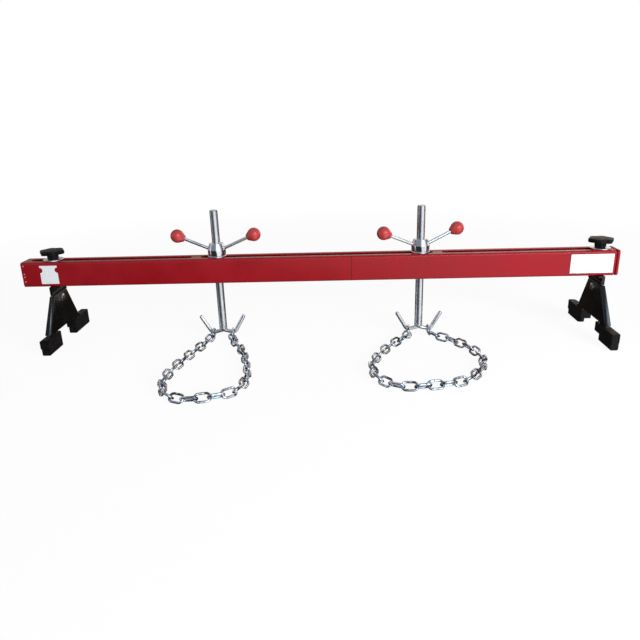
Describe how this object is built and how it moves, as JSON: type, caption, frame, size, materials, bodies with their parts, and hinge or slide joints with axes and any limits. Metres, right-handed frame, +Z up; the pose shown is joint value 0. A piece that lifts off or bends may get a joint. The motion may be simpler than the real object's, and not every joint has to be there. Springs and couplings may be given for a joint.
{
  "type": "engine support bar",
  "caption": "Slotted steel beam on two clamped, rocking feet, with two hand-turned lifting screws that end in double hooks, each holding a loop of chain.",
  "frame": {"origin": "on the floor, in the middle of the whole part seen from above, its chains laid out", "axes": "+X along the beam toward the longer label, +Y away from the chain loops, +Z up"},
  "size_m": [1.5, 0.5343, 0.337],
  "materials": {
    "red_paint": "gloss enamel, deep red",
    "black_paint": "satin black enamel on steel plate",
    "zinc": "bright zinc plate",
    "chain_steel": "bright zinc plate, a little duller",
    "black_plastic": "moulded, fine grain",
    "black_rubber": "matt moulded rubber",
    "coral_plastic": "glossy, coral red",
    "brass": "turned",
    "white_label": "bare white film"
  },
  "bodies": {
    "beam": {"beam_tube_left": "red_paint", "beam_tube_right": "red_paint", "end_plate_left": "red_paint", "end_plate_right": "red_paint", "rating_sticker": "white_label", "info_sticker": "white_label"},
    "left_clamp": {"left_clamp_washer": "zinc"},
    "left_mount": {"left_clamp_stud": "zinc", "left_foot_hanger": "black_paint", "left_pivot_bolt": "zinc", "left_pivot_nut": "zinc"},
    "left_shoe": {"left_foot_bracket": "black_paint", "left_far_rubber_pad": "black_rubber", "left_near_rubber_pad": "black_rubber"},
    "left_knob": {"left_clamp_knob": "black_plastic", "left_knob_insert": "brass"},
    "right_clamp": {"right_clamp_washer": "zinc"},
    "right_mount": {"right_clamp_stud": "zinc", "right_foot_hanger": "black_paint", "right_pivot_bolt": "zinc", "right_pivot_nut": "zinc"},
    "right_shoe": {"right_foot_bracket": "black_paint", "right_far_rubber_pad": "black_rubber", "right_near_rubber_pad": "black_rubber"},
    "right_knob": {"right_clamp_knob": "black_plastic", "right_knob_insert": "brass"},
    "left_carriage": {"left_thrust_washer": "zinc"},
    "left_hub": {"left_hub_nut": "zinc", "left_screw_left_handle": "zinc", "left_screw_left_ball": "coral_plastic", "left_screw_right_handle": "zinc", "left_screw_right_ball": "coral_plastic"},
    "left_screw": {"left_screw_rod": "zinc", "left_double_hook": "zinc"},
    "left_chain": {"left_chain_run_1": "chain_steel", "left_chain_run_2": "chain_steel", "left_chain_run_3": "chain_steel", "left_chain_run_4": "chain_steel", "left_chain_run_5": "chain_steel", "left_chain_run_6": "chain_steel", "left_chain_run_7": "chain_steel", "left_chain_run_8": "chain_steel"},
    "right_carriage": {"right_thrust_washer": "zinc"},
    "right_hub": {"right_hub_nut": "zinc", "right_screw_left_handle": "zinc", "right_screw_left_ball": "coral_plastic", "right_screw_right_handle": "zinc", "right_screw_right_ball": "coral_plastic"},
    "right_screw": {"right_screw_rod": "zinc", "right_double_hook": "zinc"},
    "right_chain": {"right_chain_run_1": "chain_steel", "right_chain_run_2": "chain_steel", "right_chain_run_3": "chain_steel", "right_chain_run_4": "chain_steel", "right_chain_run_5": "chain_steel", "right_chain_run_6": "chain_steel", "right_chain_run_7": "chain_steel", "right_chain_run_8": "chain_steel"}
  },
  "joints": [
    {"name": "left_foot_slide", "type": "slide", "parent": "beam", "child": "left_clamp", "axis": [1, 0, 0], "range_m": [-0.0465, 0.2555]},
    {"name": "left_foot_swivel", "type": "hinge", "parent": "left_clamp", "child": "left_mount", "pos_m": [-0.6755, 0.12685, 0.219], "axis": [0, 0, 1], "range_deg": [-15, 15]},
    {"name": "left_foot_rock", "type": "hinge", "parent": "left_mount", "child": "left_shoe", "pos_m": [-0.6755, 0.12685, 0.12], "axis": [1, 0, 0], "range_deg": [-8, 8]},
    {"name": "left_knob_turn", "type": "hinge", "parent": "left_mount", "child": "left_knob", "pos_m": [-0.6755, 0.12685, 0.2346], "axis": [0, 0, 1], "continuous": true},
    {"name": "right_foot_slide", "type": "slide", "parent": "beam", "child": "right_clamp", "axis": [1, 0, 0], "range_m": [-0.23, 0.012]},
    {"name": "right_foot_swivel", "type": "hinge", "parent": "right_clamp", "child": "right_mount", "pos_m": [0.71, 0.12685, 0.219], "axis": [0, 0, 1], "range_deg": [-15, 15]},
    {"name": "right_foot_rock", "type": "hinge", "parent": "right_mount", "child": "right_shoe", "pos_m": [0.71, 0.12685, 0.12], "axis": [1, 0, 0], "range_deg": [-8, 8]},
    {"name": "right_knob_turn", "type": "hinge", "parent": "right_mount", "child": "right_knob", "pos_m": [0.71, 0.12685, 0.2346], "axis": [0, 0, 1], "continuous": true},
    {"name": "left_screw_slide", "type": "slide", "parent": "beam", "child": "left_carriage", "axis": [1, 0, 0], "range_m": [-0.031, 0.11]},
    {"name": "left_hub_turn", "type": "hinge", "parent": "left_carriage", "child": "left_hub", "pos_m": [-0.252, 0.12685, 0.2386], "axis": [0, 0, 1], "range_deg": [-12600, 10080]},
    {"name": "left_lift", "type": "slide", "parent": "left_carriage", "child": "left_screw", "axis": [0, 0, 1], "range_m": [-0.0705, 0.0885]},
    {"name": "left_chain_swing", "type": "hinge", "parent": "left_screw", "child": "left_chain", "pos_m": [-0.252, 0.12685, 0.014], "axis": [1, 0, 0], "range_deg": [0, 180]},
    {"name": "right_screw_slide", "type": "slide", "parent": "beam", "child": "right_carriage", "axis": [1, 0, 0], "range_m": [-0.11, 0.02]},
    {"name": "right_hub_turn", "type": "hinge", "parent": "right_carriage", "child": "right_hub", "pos_m": [0.263, 0.12685, 0.2386], "axis": [0, 0, 1], "range_deg": [-12600, 10080]},
    {"name": "right_lift", "type": "slide", "parent": "right_carriage", "child": "right_screw", "axis": [0, 0, 1], "range_m": [-0.0705, 0.0885]},
    {"name": "right_chain_swing", "type": "hinge", "parent": "right_screw", "child": "right_chain", "pos_m": [0.263, 0.12685, 0.014], "axis": [1, 0, 0], "range_deg": [0, 180]}
  ],
  "couplings": [
    {"joint": "left_lift", "follows": "left_hub_turn", "m_per_rad": -0.00039789},
    {"joint": "right_lift", "follows": "right_hub_turn", "m_per_rad": -0.00039789}
  ]
}
